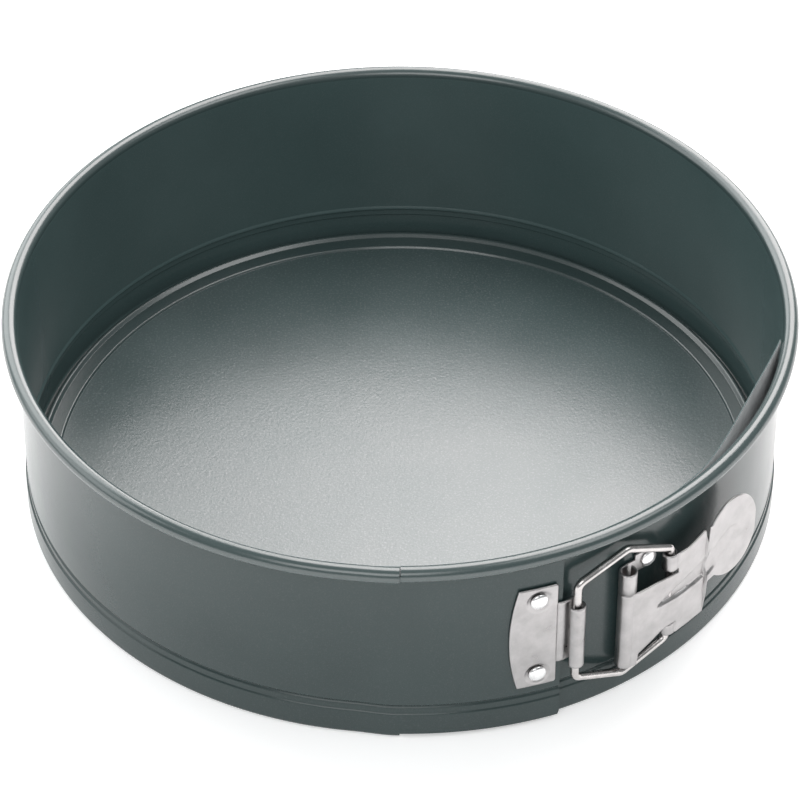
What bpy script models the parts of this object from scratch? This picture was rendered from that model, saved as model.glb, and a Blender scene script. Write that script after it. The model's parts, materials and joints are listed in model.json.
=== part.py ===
"""Springform cake pan: a two-piece wall band with an over-centre toggle latch and a lift-out base.

Frame: metres, +Z up, origin on the pan's axis at the plane it rests on. Azimuths are in degrees,
0 at the front (-Y) and growing towards the right (+X). Lengths below are in millimetres.
"""

import math

import bmesh
import bpy
from mathutils import Matrix, Vector

MM = 0.001

# Wall band
WALL_INNER_R = 150.0
SHEET = 0.6
PAN_HEIGHT = 88.6
CURL_R = 3.05
CURL_END = -125.0
LAP_TOP_Z = 82.0
BEAD_Z = 15.5
BEAD_DEPTH = 1.1
SKIRT_STEP = 0.7
LIP_INNER_R = 143.8
AZ_STEP = 5.0

# Where the band parts: the lap at the front and the seam at the back. The lap runs between two
# points of the section, counted from the bottom lip: it has neither the lip nor the curl.
BACK_SEAM_AZ = 205.0
SEAM_HALF_GAP = 0.065
CURL_HALF_GAP = 0.15
LAP_START_AZ = -7.0
LAP_END_AZ = 23.0
LAP_FIRST_POINT = 3
LAP_LAST_POINT = 7

# Inner seal flap
FLAP_START_AZ = -12.0
FLAP_END_AZ = 81.0
FLAP_SHEET = 0.5
FLAP_BOTTOM_Z = 17.6
FLAP_TOP_Z = 87.0

# Base
BASE_SHEET = 0.8
FLOOR_R = 139.5
FLOOR_TOP_Z = 1.9
BASE_OUTER_R = 147.8
BASE_RING_TOP_Z = 4.4

# Clearance that neighbouring sheets keep
GAP = 0.3

# Latch brackets
LEFT_SHEET = 1.0
LEFT_MID_Z = 46.0
LEFT_TAB_Z = (31.0, 60.8)
KNUCKLE_AZ = 24.8
KNUCKLE_PIVOT_R = 156.0
KNUCKLE_OUTER_R = 2.85
RIGHT_SHEET = 0.9
BARREL_OUTER_R = 3.5
BARREL_Z = (54.95, 64.8)
PIVOT_AZ = 33.1
PIVOT_R = 154.8
PIN_R = 2.3
PIN_Z = (17.6, 60.5)

# Rivets
LEFT_RIVET_AZ = 19.3
LEFT_RIVET_Z = (27.2, 64.4)
RIGHT_RIVET_AZ = 37.4
RIGHT_RIVET_Z = (28.5, 63.2)
RIVET_HEAD_R = 3.5
RIVET_HEAD_H = 1.6
RIVET_SHANK_R = 1.5
RIVET_HOLE_R = 1.85
RIVET_TAIL_R = 2.6
RIVET_TAIL_H = 0.55

# Lever
LEVER_SHEET = 0.9
LEVER_BARREL_Z = (17.0, 54.6)
LEVER_BOTTOM_Z = 22.6
LEVER_NOTCH_Z = 27.5
LEVER_SHOULDER_Z = 63.6
PAD_AZ = 52.1
PAD_Z = 55.5
PAD_LONG = 20.0
PAD_SHORT = 16.0
PAD_TILT = 14.0
PAD_FLARE = 1.5
NECK_Z = (39.5, 58.5)

# Bail
WIRE_R = 1.4
HOOK_AZ = 40.4
HOOK_GAP = 0.6
BAIL_APEX_TOP_Z = 76.3
BAIL_APEX_BOTTOM_Z = 11.8
BAIL_LEFT_Z = (21.5, 69.3)
BAIL_RIGHT_Z = (20.0, 66.2)
BAIL_CORNER_R = 3.5

WALL_OUTER_R = WALL_INNER_R + SHEET
WALL_MID_R = WALL_INNER_R + SHEET / 2
LEVER_MID_R = PIVOT_R + BARREL_OUTER_R - LEVER_SHEET / 2
HOOK_PIVOT_R = LEVER_MID_R - LEVER_SHEET / 2 - HOOK_GAP - WIRE_R

COATING = ("coated_steel", (0.05, 0.065, 0.062, 1), 0.38, 0.7)
PLATED = ("plated_steel", (0.66, 0.64, 0.62, 1), 0.3, 1.0)
RIVET_METAL = ("rivet_metal", (0.82, 0.82, 0.82, 1), 0.22, 1.0)


def clear_scene():
    for obj in list(bpy.data.objects):
        bpy.data.objects.remove(obj, do_unlink=True)


def material(spec):
    name, colour, roughness, metallic = spec
    mat = bpy.data.materials.get(name)
    if mat:
        return mat
    mat = bpy.data.materials.new(name)
    mat.use_nodes = True
    shader = mat.node_tree.nodes["Principled BSDF"]
    shader.inputs["Base Color"].default_value = colour
    shader.inputs["Roughness"].default_value = roughness
    shader.inputs["Metallic"].default_value = metallic
    return mat


def polar(az, radius, z):
    """Point in metres at an azimuth in degrees, a radius and a height in millimetres."""
    angle = math.radians(az)
    return Vector((radius * math.sin(angle), -radius * math.cos(angle), z)) * MM


def rotation_about(az):
    """Rotation that turns local X to the tangent, local Y to the height and local Z outwards."""
    angle = math.radians(az)
    tangent = Vector((math.cos(angle), math.sin(angle), 0))
    outward = Vector((math.sin(angle), -math.cos(angle), 0))
    return Matrix((tangent, Vector((0, 0, 1)), outward)).transposed().to_4x4()


def finish_mesh(name, bm, spec, origin=None, crease_angle=35):
    """Turn a bmesh in world metres into an object whose origin is at the given point."""
    bmesh.ops.remove_doubles(bm, verts=bm.verts, dist=0.00001)
    bmesh.ops.recalc_face_normals(bm, faces=bm.faces)
    mesh = bpy.data.meshes.new(name)
    bm.to_mesh(mesh)
    bm.free()
    mesh.shade_smooth()
    mesh.set_sharp_from_angle(angle=math.radians(crease_angle))
    obj = bpy.data.objects.new(name, mesh)
    bpy.context.scene.collection.objects.link(obj)
    mesh.materials.append(material(spec))
    if origin is not None:
        mesh.transform(Matrix.Translation(-origin))
        obj.location = origin
    return obj


def sheet_body(point, count_u, count_v, filled=lambda i, j: True):
    """Closed bmesh of a sheet cut into cells: point(i, j, side) gives its two skins' corners."""
    bm = bmesh.new()
    corners = {}

    def corner(i, j, side):
        key = (i, j, side)
        if key not in corners:
            corners[key] = bm.verts.new(point(i, j, side))
        return corners[key]

    def is_filled(i, j):
        return 0 <= i < count_u and 0 <= j < count_v and filled(i, j)

    def wall(a, b):
        bm.faces.new((corner(*a, 0), corner(*b, 0), corner(*b, 1), corner(*a, 1)))

    for i in range(count_u):
        for j in range(count_v):
            if not is_filled(i, j):
                continue
            around = ((i, j), (i + 1, j), (i + 1, j + 1), (i, j + 1))
            for side in (0, 1):
                bm.faces.new([corner(*at, side) for at in around])
            if not is_filled(i - 1, j):
                wall((i, j), (i, j + 1))
            if not is_filled(i + 1, j):
                wall((i + 1, j), (i + 1, j + 1))
            if not is_filled(i, j - 1):
                wall((i, j), (i + 1, j))
            if not is_filled(i, j + 1):
                wall((i, j + 1), (i + 1, j + 1))
    return bm


def offset_pairs(path, thickness):
    """Pairs of points half a thickness to each side of a 2D path, mitred at its corners."""
    pairs = []
    for index, here in enumerate(path):
        before = path[max(index - 1, 0)]
        after = path[min(index + 1, len(path) - 1)]
        incoming = (Vector(here) - Vector(before)) if index else (Vector(after) - Vector(here))
        outgoing = (Vector(after) - Vector(here)) if index < len(path) - 1 else incoming
        incoming.normalize()
        outgoing.normalize()
        mitre = (incoming + outgoing).normalized()
        normal = Vector((-mitre.y, mitre.x))
        reach = thickness / 2 / max(mitre.dot(outgoing), 0.5)
        pairs.append((Vector(here) - normal * reach, Vector(here) + normal * reach))
    return pairs


def arc_points(centre, radius, start, end, steps):
    """Points on an arc in a plane, angles in degrees."""
    angles = [math.radians(start + (end - start) * k / steps) for k in range(steps + 1)]
    return [(centre[0] + radius * math.cos(a), centre[1] + radius * math.sin(a)) for a in angles]


def azimuth_stations(start, end, step=AZ_STEP):
    """Azimuths from start to end, on the shared grid in between."""
    first = math.floor(start / step) + 1
    last = math.ceil(end / step) - 1
    return [start] + [k * step for k in range(first, last + 1)] + [end]


def band_profile():
    """Middle line of the band's section as (radius, z), from the bottom lip to the rim's curl."""
    half = SHEET / 2
    skirt_r = WALL_MID_R + SKIRT_STEP
    curl_centre = (WALL_INNER_R + CURL_R, PAN_HEIGHT - CURL_R)
    lower = [
        (LIP_INNER_R, half),
        (skirt_r - 1.7, half),
        (skirt_r - 0.5, half + 0.5),
        (skirt_r, half + 1.7),
        (skirt_r, BEAD_Z - 2.6),
        (WALL_MID_R - BEAD_DEPTH, BEAD_Z),
        (WALL_MID_R, BEAD_Z + 2.0),
        (WALL_MID_R, LAP_TOP_Z),
    ]
    return lower + arc_points(curl_centre, CURL_R - half, 180, CURL_END, 9)


def lap_offset(az):
    """How far the left end of the band stands out as it rides over the right end."""
    knots = ((LAP_START_AZ, 0.0), (-CURL_HALF_GAP, 1.3), (4.0, 1.45), (10.0, 1.8), (LAP_END_AZ, 2.8))
    if az <= knots[0][0]:
        return 0.0
    for (az_a, off_a), (az_b, off_b) in zip(knots, knots[1:]):
        if az <= az_b:
            return off_a + (off_b - off_a) * (az - az_a) / (az_b - az_a)
    return knots[-1][1]


def swept_band(name, stations, offset, filled):
    """Sweep the band's section through the azimuths."""
    pairs = offset_pairs(band_profile(), SHEET)

    def point(i, j, side):
        az = stations[i]
        radius, z = pairs[j][side]
        return polar(az, radius + offset(az), z)

    bm = sheet_body(point, len(stations) - 1, len(pairs) - 1, filled)
    return finish_mesh(name, bm, COATING)


def make_band_right():
    stations = azimuth_stations(CURL_HALF_GAP, BACK_SEAM_AZ - SEAM_HALF_GAP)
    return swept_band("band_right", stations, lambda az: 0.0, lambda i, j: True)


def make_band_left():
    """The left half of the wall; past the front its end runs on as a plain lap without curl or lip."""
    start = BACK_SEAM_AZ + SEAM_HALF_GAP - 360
    main = azimuth_stations(start, LAP_START_AZ) + [-3.5, -CURL_HALF_GAP]
    lap = [4.0, 10.0, 16.5, LAP_END_AZ]
    curl_end = len(main) - 1

    def filled(i, j):
        return i < curl_end or LAP_FIRST_POINT <= j < LAP_LAST_POINT

    band = swept_band("band_left", main + lap, lap_offset, filled)
    hinge = polar(BACK_SEAM_AZ, WALL_INNER_R + 2 * CURL_R + 0.4, 0)
    band.data.transform(Matrix.Translation(-hinge))
    band.location = hinge
    return band


def make_seal_flap():
    """Thin strip inside the wall that closes the gap under the lap."""
    stations = azimuth_stations(FLAP_START_AZ, FLAP_END_AZ)
    outer = WALL_INNER_R - GAP
    levels = (FLAP_BOTTOM_Z, FLAP_TOP_Z)

    def point(i, j, side):
        return polar(stations[i], outer - FLAP_SHEET * (1 - side), levels[j])

    return finish_mesh("seal_flap", sheet_body(point, len(stations) - 1, 1), COATING)


def make_base_plate():
    """Pressed base: a floor, a small step, a flat ring, an outer bead and a turned-down edge."""
    half = BASE_SHEET / 2
    floor_mid = FLOOR_TOP_Z - half
    ring_mid = BASE_RING_TOP_Z - half
    edge_mid = BASE_OUTER_R - half
    path = [
        (FLOOR_R, floor_mid),
        (FLOOR_R + 0.6, floor_mid + 0.9),
        (FLOOR_R + 5.0, floor_mid + 1.3),
        (FLOOR_R + 6.0, ring_mid - 0.1),
        (edge_mid - 0.9, ring_mid),
        (edge_mid, ring_mid - 0.9),
        (edge_mid, SHEET + GAP + 0.05),
    ]
    pairs = offset_pairs(path, BASE_SHEET)
    count = round(360 / AZ_STEP)
    section = [pair[0] for pair in pairs] + [pair[1] for pair in reversed(pairs)]
    bm = bmesh.new()
    rings = []
    for radius, z in section:
        rings.append([bm.verts.new(polar(k * AZ_STEP, radius, z)) for k in range(count)])
    for lower, upper in zip(rings, rings[1:]):
        for k in range(count):
            after = (k + 1) % count
            bm.faces.new((lower[k], lower[after], upper[after], upper[k]))
    bm.faces.new(rings[0])
    bm.faces.new(rings[-1])
    return finish_mesh("base_plate", bm, COATING)


def pivot_frame(az, radius):
    """Map (tangent, outward) millimetres around a vertical pivot to plan coordinates."""
    angle = math.radians(az)
    centre = Vector((radius * math.sin(angle), -radius * math.cos(angle)))
    tangent = Vector((math.cos(angle), math.sin(angle)))
    outward = Vector((math.sin(angle), -math.cos(angle)))
    return lambda at: centre + tangent * at[0] + outward * at[1]


def plan_point(az, radius):
    angle = math.radians(az)
    return Vector((radius * math.sin(angle), -radius * math.cos(angle)))


def strip_body(path, thickness, rows, filled=lambda i, j: True):
    """Upright strip along a plan path; rows[j][i] is the height of row j at station i."""
    pairs = offset_pairs(path, thickness)

    def point(i, j, side):
        at = pairs[i][side]
        return Vector((at.x, at.y, rows[j][i])) * MM

    return sheet_body(point, len(path) - 1, len(rows) - 1, filled)


def make_left_bracket():
    """Plate on the lap whose tab rolls into the knuckle that holds the bail."""
    mid = LEFT_SHEET / 2 + GAP + WALL_OUTER_R
    plate = ((15.3, 8.0), (15.6, 14.0), (16.1, 20.0), (16.6, 24.8), (19.3, 24.8), (21.95, 24.8))
    path = [plan_point(az, mid + lap_offset(az)) for az, _ in plate]
    half_heights = [half for _, half in plate]
    roll = pivot_frame(KNUCKLE_AZ, KNUCKLE_PIVOT_R)
    middle_r = KNUCKLE_OUTER_R - LEFT_SHEET / 2
    tab = [plan_point(az, mid + lap_offset(az)) for az in (22.05, 23.2)]
    curl = [roll(at) for at in arc_points((0, 0), middle_r, -90, 205, 10)]
    rolled = len(tab) + len(curl)
    low = [LEFT_MID_Z - half for half in half_heights] + [LEFT_TAB_Z[0]] * rolled
    high = [LEFT_MID_Z + half for half in half_heights] + [LEFT_TAB_Z[1]] * rolled
    bm = strip_body(path + tab + curl, LEFT_SHEET, (low, high))
    return finish_mesh("left_bracket", bm, PLATED, polar(KNUCKLE_AZ, KNUCKLE_PIVOT_R, LEFT_MID_Z))


def make_right_bracket():
    """Narrow plate with an ear for each rivet, whose upper edge rolls into the fixed barrel."""
    mid = WALL_OUTER_R + GAP + RIGHT_SHEET / 2
    roll = pivot_frame(PIVOT_AZ, PIVOT_R)
    middle_r = BARREL_OUTER_R - RIGHT_SHEET / 2
    curl = [roll(at) for at in arc_points((0, 0), middle_r, -390, -90, 10)]
    plate_az = (34.35, 35.2, 36.1, 38.0, 38.9)
    path = curl + [plan_point(az, mid) for az in plate_az]
    strip_start = len(curl)
    ear_start = strip_start + 2
    ear = 4.2
    chamfer = 1.8
    count = len(path)
    low_end = RIGHT_RIVET_Z[0] - ear
    high_end = BARREL_Z[1]
    rows = [
        [low_end] * (count - 1) + [low_end + chamfer],
        [RIGHT_RIVET_Z[0] + ear] * (count - 1) + [RIGHT_RIVET_Z[0] + ear - chamfer],
        [BARREL_Z[0]] * count,
        [RIGHT_RIVET_Z[1] - ear] * (count - 1) + [RIGHT_RIVET_Z[1] - ear + chamfer],
        [high_end] * (strip_start + 2) + [RIGHT_RIVET_Z[1] + ear] * 2 + [RIGHT_RIVET_Z[1] + ear - chamfer],
    ]

    def filled(i, j):
        if i < strip_start:
            return j >= 2
        if i < ear_start:
            return True
        return j in (0, 3)

    bm = strip_body(path, RIGHT_SHEET, rows, filled)
    return finish_mesh("right_bracket", bm, PLATED, polar(PIVOT_AZ, PIVOT_R, BARREL_Z[0]))


def pad_span(az):
    """Lowest and highest point of the thumb pad at an azimuth: a tilted ellipse."""
    across = math.radians(az - PAD_AZ) * LEVER_MID_R
    tilt = math.radians(PAD_TILT)
    long_x = -PAD_LONG * math.sin(tilt)
    long_z = PAD_LONG * math.cos(tilt)
    short_x = PAD_SHORT * math.cos(tilt)
    short_z = PAD_SHORT * math.sin(tilt)
    reach = math.hypot(long_x, short_x)
    phase = math.atan2(short_x, long_x)
    turn = math.acos(max(-1.0, min(1.0, across / reach)))
    heights = [long_z * math.cos(t) + short_z * math.sin(t) for t in (phase - turn, phase + turn)]
    return PAD_Z + min(heights), PAD_Z + max(heights)


def lever_outline():
    """Azimuth, lower edge and upper edge of the lever's flat part, from the barrel to the pad's tip."""
    barrel_low, barrel_high = LEVER_BARREL_Z
    plate = [
        (34.6, barrel_low, barrel_high),
        (34.95, LEVER_BOTTOM_Z, barrel_high),
        (38.4, LEVER_NOTCH_Z, barrel_high),
        (41.1, LEVER_NOTCH_Z, barrel_high),
        (41.5, LEVER_BOTTOM_Z + 0.1, LEVER_SHOULDER_Z),
        (43.4, LEVER_BOTTOM_Z + 0.4, LEVER_SHOULDER_Z + 0.2),
        (44.8, LEVER_BOTTOM_Z + 0.7, LEVER_SHOULDER_Z + 1.1),
        (46.4, LEVER_BOTTOM_Z + 1.0, LEVER_SHOULDER_Z + 1.2),
        (46.75, NECK_Z[0], NECK_Z[1]),
    ]
    pad = []
    for az in (47.1, 47.8, 48.9, 50.3, 52.1, 53.9, 55.4, 56.6, 57.4, 57.8):
        low, high = pad_span(az)
        if az < 51:
            low = min(low, NECK_Z[0])
        pad.append((az, low, high))
    return plate + pad


def make_lever():
    """Latch lever: a rolled barrel, a plate that follows the wall and a thumb pad."""
    roll = pivot_frame(PIVOT_AZ, PIVOT_R)
    middle_r = BARREL_OUTER_R - LEVER_SHEET / 2
    curl = [roll(at) for at in arc_points((0, 0), middle_r, 390, 90, 10)]
    outline = lever_outline()
    path = list(curl)
    for az, _, _ in outline:
        flare = PAD_FLARE * max(0.0, (az - PAD_AZ + 5) / 10) ** 2
        path.append(plan_point(az, LEVER_MID_R + flare))
    low = [LEVER_BARREL_Z[0]] * len(curl) + [low for _, low, _ in outline]
    high = [LEVER_BARREL_Z[1]] * len(curl) + [high for _, _, high in outline]
    bm = strip_body(path, LEVER_SHEET, (low, high))
    return finish_mesh("lever", bm, PLATED, polar(PIVOT_AZ, PIVOT_R, LEVER_BARREL_Z[0]))


def rounded_corners(corners, radius, steps=4):
    """Points of a polyline whose inner corners are rounded by short arcs."""
    points = [Vector(corners[0])]
    for before, here, after in zip(corners, corners[1:], corners[2:]):
        here = Vector(here)
        to_before = (Vector(before) - here).normalized()
        to_after = (Vector(after) - here).normalized()
        half_angle = to_before.angle(to_after) / 2
        cut = radius / math.tan(half_angle)
        start = here + to_before * cut
        end = here + to_after * cut
        centre = here + (to_before + to_after).normalized() * (radius / math.sin(half_angle))
        for k in range(steps + 1):
            points.append(centre + (start - centre).slerp(end - centre, k / steps) * radius)
    points.append(Vector(corners[-1]))
    return points


def make_bail():
    """Wire loop from the knuckle to the lever; its two ends meet inside the knuckle."""
    left = plan_point(KNUCKLE_AZ, KNUCKLE_PIVOT_R)
    right = plan_point(HOOK_AZ, HOOK_PIVOT_R)
    along = right - left
    length = along.length
    apex = length * 0.52
    corners = [
        (0, LEFT_MID_Z - 0.4),
        (0, BAIL_LEFT_Z[0]),
        (apex, BAIL_APEX_BOTTOM_Z),
        (length, BAIL_RIGHT_Z[0]),
        (length, BAIL_RIGHT_Z[1]),
        (apex, BAIL_APEX_TOP_Z),
        (0, BAIL_LEFT_Z[1]),
        (0, LEFT_MID_Z + 0.4),
    ]
    origin = Vector((left.x, left.y, LEFT_MID_Z)) * MM
    curve = bpy.data.curves.new("bail", "CURVE")
    curve.dimensions = "3D"
    curve.bevel_depth = WIRE_R * MM
    curve.bevel_resolution = 3
    curve.use_fill_caps = True
    points = rounded_corners([(u, z) for u, z in corners], BAIL_CORNER_R)
    spline = curve.splines.new("POLY")
    spline.points.add(len(points) - 1)
    for target, at in zip(spline.points, points):
        plan = left + along * (at.x / length)
        target.co = (*(Vector((plan.x, plan.y, at.y)) * MM - origin), 1)
    curve.materials.append(material(PLATED))
    bail = bpy.data.objects.new("bail", curve)
    bail.location = origin
    bpy.context.scene.collection.objects.link(bail)
    return bail


def lathe(name, profile, segments, spec):
    """Closed solid of revolution about local Z; the profile runs from the axis to the axis."""
    bm = bmesh.new()
    rings = []
    for radius, height in profile[1:-1]:
        ring = []
        for k in range(segments):
            angle = 2 * math.pi * k / segments
            at = Vector((radius * math.cos(angle), radius * math.sin(angle), height))
            ring.append(bm.verts.new(at * MM))
        rings.append(ring)
    for lower, upper in zip(rings, rings[1:]):
        for k in range(segments):
            after = (k + 1) % segments
            bm.faces.new((lower[k], lower[after], upper[after], upper[k]))
    for ring, end in ((rings[0], profile[0]), (rings[-1], profile[-1])):
        tip = bm.verts.new(Vector((0, 0, end[1])) * MM)
        for k in range(segments):
            bm.faces.new((tip, ring[k], ring[(k + 1) % segments]))
    return finish_mesh(name, bm, spec)


def make_rivet(name, az, z, seat_r, tail_seat_r):
    """Domed head outside, shank through the sheets and a flat tail inside."""
    length = seat_r - tail_seat_r
    dome = []
    for step in range(1, 4):
        angle = math.radians(90 * step / 4)
        dome.append((RIVET_HEAD_R * math.sin(angle), 0.4 + (RIVET_HEAD_H - 0.4) * math.cos(angle)))
    profile = [(0, RIVET_HEAD_H)] + dome + [
        (RIVET_HEAD_R, 0.4),
        (RIVET_HEAD_R, 0),
        (RIVET_SHANK_R, 0),
        (RIVET_SHANK_R, -length),
        (RIVET_TAIL_R, -length),
        (RIVET_TAIL_R, -length - RIVET_TAIL_H),
        (0, -length - RIVET_TAIL_H),
    ]
    rivet = lathe(name, profile, 14, RIVET_METAL)
    rivet.matrix_world = Matrix.Translation(polar(az, seat_r, z)) @ rotation_about(az)
    return rivet


def drill(name, az, z, targets):
    """Cut a rivet hole through the sheets it joins."""
    cutter = lathe(name, [(0, -4), (RIVET_HOLE_R, -4), (RIVET_HOLE_R, 4), (0, 4)], 14, PLATED)
    cutter.matrix_world = Matrix.Translation(polar(az, WALL_OUTER_R + 1, z)) @ rotation_about(az)
    cutter.hide_render = True
    cutter.display_type = "WIRE"
    for target in targets:
        cut = target.modifiers.new(name, "BOOLEAN")
        cut.operation = "DIFFERENCE"
        cut.object = cutter


def make_pivot_pin():
    low, high = PIN_Z
    profile = [
        (0, low),
        (PIN_R - 0.3, low),
        (PIN_R, low + 0.4),
        (PIN_R, high - 0.4),
        (PIN_R - 0.3, high),
        (0, high),
    ]
    pin = lathe("pivot_pin", profile, 20, PLATED)
    pin.location = polar(PIVOT_AZ, PIVOT_R, 0)
    return pin


def make_rivets(band_right, band_left, flap, left_bracket, right_bracket):
    left_seat = WALL_OUTER_R + lap_offset(LEFT_RIVET_AZ) + GAP + LEFT_SHEET + 0.2
    left_tail = WALL_INNER_R + lap_offset(LEFT_RIVET_AZ) - 0.3
    right_seat = WALL_OUTER_R + GAP + RIGHT_SHEET + 0.2
    right_tail = WALL_INNER_R - GAP - FLAP_SHEET - 0.3
    for level, left_z, right_z in zip(("lower", "upper"), LEFT_RIVET_Z, RIGHT_RIVET_Z):
        make_rivet(f"left_rivet_{level}", LEFT_RIVET_AZ, left_z, left_seat, left_tail)
        make_rivet(f"right_rivet_{level}", RIGHT_RIVET_AZ, right_z, right_seat, right_tail)
        drill(f"left_hole_{level}", LEFT_RIVET_AZ, left_z, (band_left, left_bracket))
        drill(f"right_hole_{level}", RIGHT_RIVET_AZ, right_z, (band_right, flap, right_bracket))


def main():
    clear_scene()
    band_right = make_band_right()
    band_left = make_band_left()
    flap = make_seal_flap()
    make_base_plate()
    left_bracket = make_left_bracket()
    right_bracket = make_right_bracket()
    make_lever()
    make_bail()
    make_pivot_pin()
    make_rivets(band_right, band_left, flap, left_bracket, right_bracket)


main()
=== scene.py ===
"""Looks of the springform pan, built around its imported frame.

Places come from the frame: the joints' axes, the rivets' and the other nodes' boxes. Azimuths are in
degrees, 0 at the front (-Y) and growing towards the right (+X). Lengths below are in millimetres.
"""

import json
import math

import bmesh
import bpy
from mathutils import Matrix, Vector


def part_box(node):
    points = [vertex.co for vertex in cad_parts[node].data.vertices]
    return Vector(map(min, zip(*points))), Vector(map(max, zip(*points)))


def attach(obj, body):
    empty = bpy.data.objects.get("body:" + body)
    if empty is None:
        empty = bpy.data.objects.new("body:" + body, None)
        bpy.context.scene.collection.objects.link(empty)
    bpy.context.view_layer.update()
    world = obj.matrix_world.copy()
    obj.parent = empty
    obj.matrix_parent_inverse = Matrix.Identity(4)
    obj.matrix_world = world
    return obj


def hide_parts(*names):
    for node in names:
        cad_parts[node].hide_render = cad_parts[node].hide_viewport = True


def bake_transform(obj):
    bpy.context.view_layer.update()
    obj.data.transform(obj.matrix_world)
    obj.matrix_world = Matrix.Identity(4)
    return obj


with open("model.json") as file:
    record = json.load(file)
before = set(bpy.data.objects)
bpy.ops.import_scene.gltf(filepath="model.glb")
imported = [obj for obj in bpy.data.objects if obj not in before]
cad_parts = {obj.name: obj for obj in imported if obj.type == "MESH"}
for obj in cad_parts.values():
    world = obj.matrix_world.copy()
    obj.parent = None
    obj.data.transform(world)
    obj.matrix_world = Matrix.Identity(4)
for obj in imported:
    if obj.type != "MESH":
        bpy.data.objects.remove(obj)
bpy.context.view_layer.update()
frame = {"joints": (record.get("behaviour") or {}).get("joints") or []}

MM = 0.001

# Two heights closer than this, in millimetres, count as equal
TOLERANCE = 0.001

# A face whose normal is more than this along the radius looks outwards or inwards
FACING = 0.7

# Clearance between neighbouring sheets
GAP = 0.3


def azimuth_of(point):
    return math.degrees(math.atan2(point[0], -point[1]))


def radius_of(point):
    return math.hypot(point[0], point[1]) / MM


def heights(node):
    """Lowest and highest z of a CAD node."""
    low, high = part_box(node)
    return low.z / MM, high.z / MM


def centre_of(node):
    low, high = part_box(node)
    return (low + high) / 2


JOINT_AT = {joint["name"]: joint["pos_m"] for joint in frame["joints"] if "pos_m" in joint}

# Wall band
SHEET = 0.6
CURL_R = 3.05
CURL_END = -125.0
PAN_HEIGHT = heights("band_right")[1]
RIM_OUTER_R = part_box("band_right")[1].x / MM
WALL_INNER_R = RIM_OUTER_R - 2 * CURL_R
WALL_OUTER_R = WALL_INNER_R + SHEET
WALL_MID_R = WALL_INNER_R + SHEET / 2
BEAD_Z = 15.5
BEAD_DEPTH = 0.85
SKIRT_STEP = 0.7
LIP_INNER_R = 143.8
LAP_BOTTOM_Z = 2.0
LAP_TOP_Z = 82.0
CURL_HALF_GAP = 0.06
LAP_START_AZ = -7.0
LAP_END_AZ = 23.0
LAP_CORNER_R = 2.5
LAP_STEP = 1.3
LAP_END_RISE = 1.5
LAP_RIM_EASE = 0.6
LAP_EASE_Z = 60.0
BACK_HALF_ANGLE = 30.0
BACK_SEAM_AZ = azimuth_of(JOINT_AT["band_spread"]) % 360

# Inner seal flap
FLAP_SHEET = 0.5
FLAP_START_AZ = -12.0
FLAP_END_AZ = 81.0
FLAP_BOW_AZ = 48.5
FLAP_BOW = 4.6
FLAP_HIDDEN_DROP = 1.2
FLAP_RISE_LEAD = 6.0
FLAP_RISE_AZ = 8.0
FLAP_END_GAP = 0.25

# Base
BASE_SHEET = 0.8
FLOOR_R = 139.2
BASE_RING_TOP_Z = heights("base_plate")[1]
BASE_OUTER_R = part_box("base_plate")[1].x / MM
FLOOR_TOP_Z = 1.9
STEP_WIDTH = 0.55
STEP_RISE = 0.9
LEDGE_WIDTH = 5.9
LEDGE_RISE = 1.3
RING_START = 7.2

# Left bracket: the plate on the lap, its tab and its knuckle
LEFT_SHEET = 1.0
LEFT_TAB_Z = (31.0, 60.8)
LEFT_PLATE_AZ = (15.3, 22.05)
LEFT_SHOULDER_AZ = 23.2
LEFT_EDGE_BOW = 1.25
LEFT_EDGE_HALF_Z = 25.0
LEFT_CORNER_R = 0.8
KNUCKLE_AZ = azimuth_of(JOINT_AT["bail_swing"])
KNUCKLE_R = radius_of(JOINT_AT["bail_swing"])
KNUCKLE_OUTER_R = 3.25
KNUCKLE_DROP = 2.0

# Right bracket: its plate, the two ears round the rivets and the fixed barrel
RIGHT_SHEET = 0.9
RIGHT_PLATE_AZ = (34.0, 34.35, 34.8, 35.2)
EAR_START_AZ = 35.5
EAR_END_AZ = 38.9
EAR_HALF_Z = 4.1
EAR_CORNER_R = 3.4
PIVOT_AZ = azimuth_of(JOINT_AT["lever_pivot"])
PIVOT_R = radius_of(JOINT_AT["lever_pivot"])
BARREL_OUTER_R = 3.5
BARREL_LOW_Z = 54.95
BARREL_TOP_Z = 64.8
BARREL_CLEARANCE = 0.35
PIN_R = 2.3
PIN_EDGE_R = 0.5

# Lever: its sheet, the azimuths where its parts start, and its lower and upper edges over the azimuth
LEVER_SHEET = 0.9
LEVER_MID_R = PIVOT_R + BARREL_OUTER_R - LEVER_SHEET / 2
LEVER_START_AZ = 34.0
LEVER_BARREL_END_AZ = 34.3
CURL_LEAD_AZ = 40.9
CURL_EDGE_AZ = 41.3
NECK_AZ = 46.9
NECK_END_AZ = 47.1
LEVER_LOW = ((34.6, 22.4), (38.9, 28.6), (41.2, 28.7))
LEVER_HIGH = ((34.6, 54.6), (37.5, 54.7), (41.2, 53.8))
PLATE_LOW = ((41.3, 22.9), (42.9, 23.2), (44.8, 23.6), (46.6, 23.9), (46.85, 38.6), (47.1, 39.5))
PLATE_HIGH = ((41.3, 63.5), (43.15, 63.5), (44.6, 64.75), (46.2, 66.2), (46.45, 65.6), (46.8, 59.5))
NECK_LOW_Z = 39.5
NECK_HIGH_Z = 66.5
NECK_BLEND_AZ = 51.0

# Rows of the lever's grid: a lower curl, a slit, the plate, a slit and an upper curl
CURL_ROWS = 6
PLATE_ROW_COUNT = 36
PLATE_ROWS = range(CURL_ROWS + 1, CURL_ROWS + 1 + PLATE_ROW_COUNT)
UPPER_SLIT = PLATE_ROWS[-1] + 1
LOW_CURL_Z = (22.9, 27.9)
PLATE_Z = (28.7, 53.8)
HIGH_CURL_Z = (56.2, 63.5)

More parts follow.
